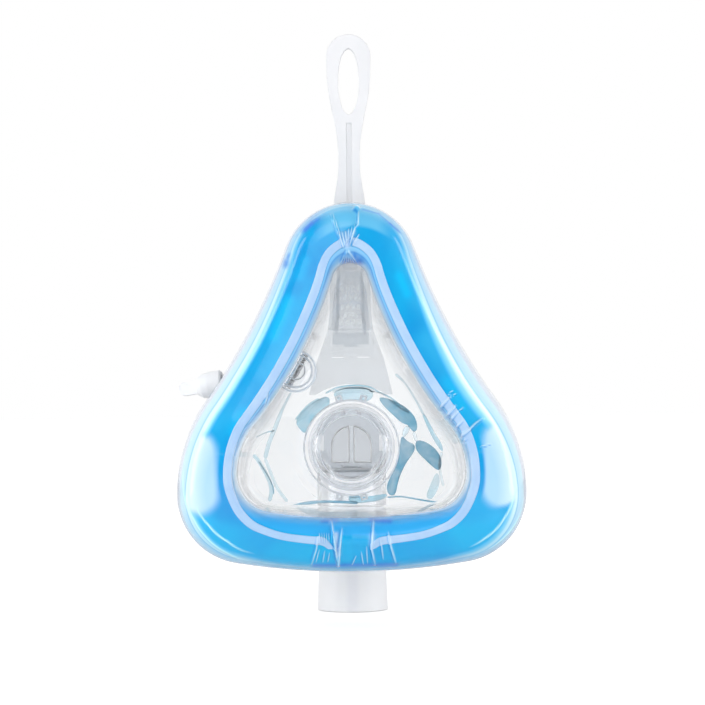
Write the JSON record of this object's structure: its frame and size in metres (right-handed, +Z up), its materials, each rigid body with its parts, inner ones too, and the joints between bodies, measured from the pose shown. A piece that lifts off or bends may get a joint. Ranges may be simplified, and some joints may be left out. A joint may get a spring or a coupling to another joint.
{
  "type": "full face cpap mask",
  "caption": "Full face breathing mask: blue gel cushion ring on a clear domed shell, swivel elbow with valve window and hose cuff, forehead arm with eyelet, side port with plug.",
  "frame": {"origin": "where the port's axis meets the crest plane of the cushion, on the wearer's side", "axes": "+Z up along the mask from chin to forehead, +X to the right as the wearer's side is looked at, +Y away from the wearer's face, along the port's axis"},
  "size_m": [0.1226, 0.1012, 0.207],
  "materials": {
    "clear_shell": "clear, polished",
    "clear_ring": "clear, polished",
    "blue_gel": "glossy film over translucent blue gel",
    "clear_port": "clear, polished",
    "frosted": "translucent white, frosted",
    "flap_silicone": "soft silicone",
    "cap_silicone": "soft silicone"
  },
  "bodies": {
    "mask": {"shell": "clear_shell", "cushion_ring": "clear_ring", "gel_cushion": "blue_gel", "port_ring": "clear_port", "arm_bracket": "frosted", "side_port": "clear_port"},
    "arm": {"forehead_arm": "frosted"},
    "swivel_elbow": {"elbow": "clear_port", "valve_frame": "frosted"},
    "flap": {"valve_flap": "flap_silicone"},
    "cuff": {"hose_swivel": "frosted"},
    "cap": {"port_cap": "cap_silicone"}
  },
  "joints": [
    {"name": "elbow_turn", "type": "hinge", "parent": "mask", "child": "swivel_elbow", "pos_m": [0, 0.055, 0], "axis": [0, 1, 0], "continuous": true},
    {"name": "cuff_turn", "type": "hinge", "parent": "swivel_elbow", "child": "cuff", "pos_m": [0, 0.083, -0.045], "axis": [0, 0, 1], "continuous": true},
    {"name": "flap_swing", "type": "hinge", "parent": "swivel_elbow", "child": "flap", "pos_m": [0, 0.0925, -0.0095], "axis": [-1, 0, 0], "range_deg": [0, 90]},
    {"name": "arm_slide", "type": "slide", "parent": "mask", "child": "arm", "axis": [0, -0.5736, 0.8192], "range_m": [0, 0.007]},
    {"name": "cap_pull", "type": "slide", "parent": "mask", "child": "cap", "axis": [-0.9781, 0.1375, -0.1564], "range_m": [0, 0.012]}
  ]
}
